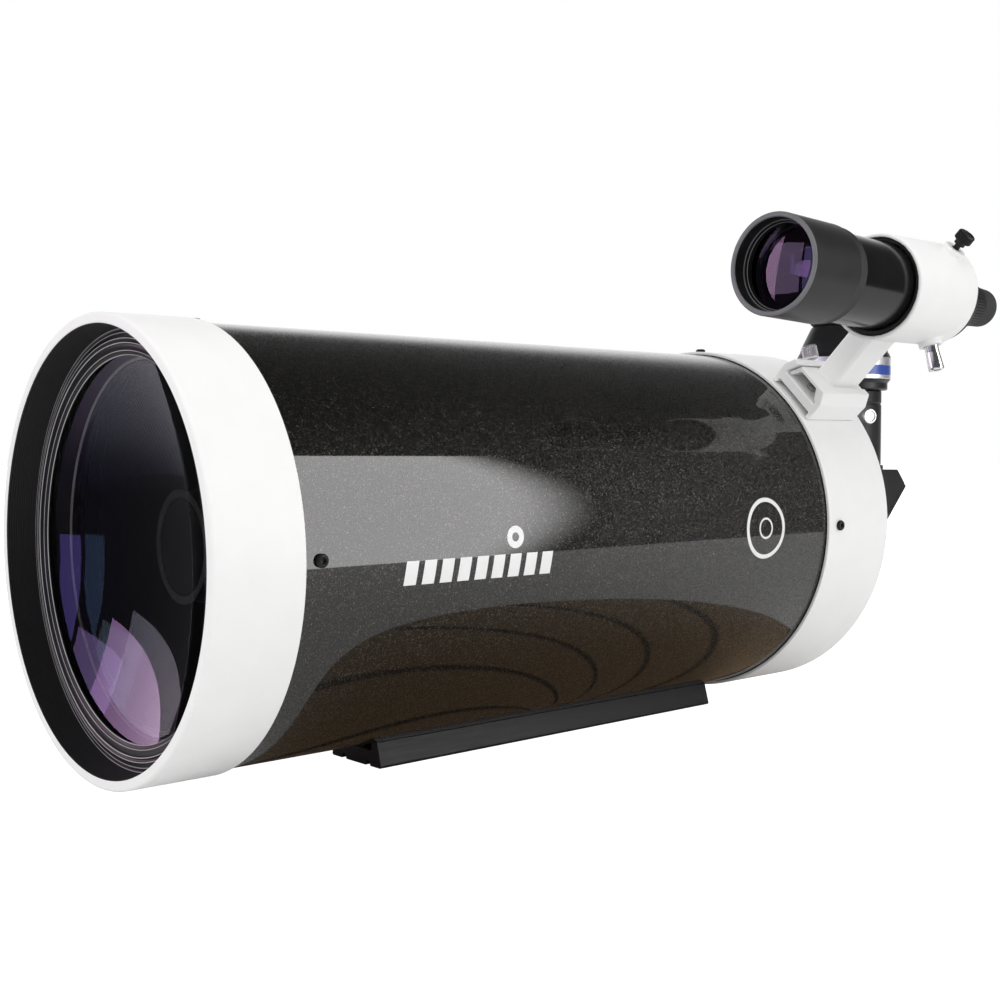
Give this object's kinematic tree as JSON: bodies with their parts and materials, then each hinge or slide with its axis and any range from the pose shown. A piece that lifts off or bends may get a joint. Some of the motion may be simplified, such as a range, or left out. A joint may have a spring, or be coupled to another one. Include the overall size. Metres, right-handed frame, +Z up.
{
  "type": "maksutov telescope",
  "caption": "Maksutov-Cassegrain telescope tube with finder scope, star diagonal and eyepiece, on a dovetail bar.",
  "frame": {"origin": "middle of the dovetail bar's flat underside", "axes": "+Y back along the optical axis towards the eyepiece, +Z up, +X towards the side that carries the finder"},
  "size_m": [0.2883, 0.63, 0.2964],
  "materials": {
    "white_paint": "smooth gloss white powder paint",
    "tube_paint": "deep gloss black with fine bronze metal flake under clear lacquer",
    "black_paint": "satin to matte black",
    "black_anodised": "satin black anodised",
    "black_rubber": "matte moulded",
    "chrome": "bright turned and plated",
    "steel": "bright machined",
    "brass": "turned",
    "coated_glass": "polished, with violet and green anti-reflection coating",
    "mirror": "aluminised first-surface"
  },
  "bodies": {
    "optical_tube": {"main_tube": "tube_paint", "front_ring": "white_paint", "rear_cell": "white_paint", "corrector_cell": "black_paint", "corrector_retaining_ring": "black_anodised", "corrector_lens": "coated_glass", "secondary_spot": "mirror", "secondary_baffle": "black_paint", "primary_baffle_tube": "black_paint", "focus_bush": "brass", "visual_back": "black_anodised", "front_screw_1": "black_anodised", "front_screw_2": "black_anodised", "front_screw_3": "black_anodised", "front_screw_4": "black_anodised", "rear_screw_1": "black_anodised", "rear_screw_2": "black_anodised", "rear_screw_3": "black_anodised", "rear_screw_4": "black_anodised", "dovetail_bar": "black_anodised", "dovetail_spacer_front": "black_anodised", "dovetail_spacer_rear": "black_anodised", "dovetail_screw_front": "steel", "dovetail_screw_rear": "steel", "finder_shoe": "white_paint", "finder_shoe_screw_1": "steel", "finder_shoe_screw_2": "steel"},
    "mirror_carriage": {"primary_mirror": "mirror", "mirror_carrier": "black_anodised", "mirror_clamp_ring": "brass", "focus_screw": "steel"},
    "focus_knob": {"focus_knob": "black_rubber"},
    "visual_back_thumbscrew_1": {"visual_back_thumbscrew_1": "chrome"},
    "visual_back_thumbscrew_2": {"visual_back_thumbscrew_2": "chrome"},
    "star_diagonal": {"diagonal_body": "black_paint", "diagonal_cover_plate": "black_anodised", "diagonal_mirror": "mirror", "diagonal_nosepiece": "chrome", "eyepiece_holder": "black_anodised"},
    "eyepiece_thumbscrew": {"eyepiece_thumbscrew": "chrome"},
    "eyepiece": {"eyepiece_barrel": "chrome", "eyepiece_housing": "black_anodised", "eyepiece_field_lens": "coated_glass", "eyepiece_eye_lens": "coated_glass", "eyepiece_eyecup": "black_rubber"},
    "finder_shoe_thumbscrew": {"finder_shoe_thumbscrew": "chrome"},
    "finder_bracket": {"finder_bracket": "white_paint", "finder_spring_housing": "chrome"},
    "finder_spring_pin": {"finder_spring_pin": "steel"},
    "finder_thumbscrew_1": {"finder_thumbscrew_1": "black_anodised"},
    "finder_thumbscrew_2": {"finder_thumbscrew_2": "black_anodised"},
    "finder_seal": {"finder_o_ring": "black_rubber"},
    "finder_scope": {"finder_tube": "black_paint", "finder_rear_cell": "black_paint", "finder_eyepiece": "black_anodised", "finder_eye_lens": "coated_glass", "finder_eyecup": "black_rubber"},
    "finder_lock_ring": {"finder_lock_ring": "black_paint"},
    "finder_objective": {"finder_dew_shield": "black_paint", "finder_objective_lens": "coated_glass"}
  },
  "joints": [
    {"name": "focus_knob_turn", "type": "hinge", "parent": "optical_tube", "child": "focus_knob", "pos_m": [-0.0545, 0.2205, 0.10076], "axis": [0, 1, 0], "range_deg": [-2200, 2200]},
    {"name": "mirror_slide", "type": "slide", "parent": "optical_tube", "child": "mirror_carriage", "axis": [0, 1, 0], "range_m": [-0.006, 0.006]},
    {"name": "visual_back_screw_turn_1", "type": "hinge", "parent": "optical_tube", "child": "visual_back_thumbscrew_1", "pos_m": [-0.03118, 0.2575, 0.1386], "axis": [-0.866, 0, 0.5], "range_deg": [0, 720]},
    {"name": "visual_back_screw_turn_2", "type": "hinge", "parent": "optical_tube", "child": "visual_back_thumbscrew_2", "pos_m": [0.03118, 0.2575, 0.1386], "axis": [0.866, 0, 0.5], "range_deg": [0, 720]},
    {"name": "diagonal_turn", "type": "hinge", "parent": "optical_tube", "child": "star_diagonal", "pos_m": [0, 0.2615, 0.1206], "axis": [0, 1, 0], "range_deg": [-90, 90]},
    {"name": "eyepiece_screw_turn", "type": "hinge", "parent": "star_diagonal", "child": "eyepiece_thumbscrew", "pos_m": [0, 0.3125, 0.1901], "axis": [0.9063, -0.4226, 0], "range_deg": [0, 720]},
    {"name": "eyepiece_pull_out", "type": "slide", "parent": "star_diagonal", "child": "eyepiece", "axis": [0, 0, 1], "range_m": [0, 0.028]},
    {"name": "shoe_screw_turn", "type": "hinge", "parent": "optical_tube", "child": "finder_shoe_thumbscrew", "pos_m": [0.07669, 0.166, 0.2214], "axis": [-0.2588, 0, 0.9659], "range_deg": [0, 720]},
    {"name": "bracket_slide", "type": "slide", "parent": "optical_tube", "child": "finder_bracket", "axis": [0, -1, 0], "range_m": [0, 0.055]},
    {"name": "spring_pin_travel", "type": "slide", "parent": "finder_bracket", "child": "finder_spring_pin", "axis": [0.2588, 0, -0.9659], "range_m": [0, 0.002], "stiffness_N_per_m": 400},
    {"name": "finder_screw_turn_1", "type": "hinge", "parent": "finder_bracket", "child": "finder_thumbscrew_1", "pos_m": [0.16773, 0.1835, 0.28833], "axis": [0.7071, 0, 0.7071], "range_deg": [0, 720]},
    {"name": "finder_screw_turn_2", "type": "hinge", "parent": "finder_bracket", "child": "finder_thumbscrew_2", "pos_m": [0.10415, 0.1835, 0.27129], "axis": [-0.9659, 0, 0.2588], "range_deg": [0, 720]},
    {"name": "finder_tilt_side", "type": "hinge", "parent": "finder_bracket", "child": "finder_seal", "pos_m": [0.14097, 0.13831, 0.26182], "axis": [0.7071, 0, 0.7071], "range_deg": [-1, 1]},
    {"name": "finder_tilt_lift", "type": "hinge", "parent": "finder_seal", "child": "finder_scope", "pos_m": [0.14097, 0.13831, 0.26182], "axis": [0.7071, 0, -0.7071], "range_deg": [-1, 1]},
    {"name": "lock_ring_turn", "type": "hinge", "parent": "finder_scope", "child": "finder_lock_ring", "pos_m": [0.14216, 0.08186, 0.2639], "axis": [-0.0212, 0.9991, -0.0368], "range_deg": [-360, 360]},
    {"name": "finder_focus_slide", "type": "slide", "parent": "finder_scope", "child": "finder_objective", "axis": [0.0212, -0.9991, 0.0368], "range_m": [0, 0.004]}
  ],
  "couplings": [
    {"joint": "focus_knob_turn", "follows": "mirror_slide", "rad_per_m": 6283.2}
  ]
}
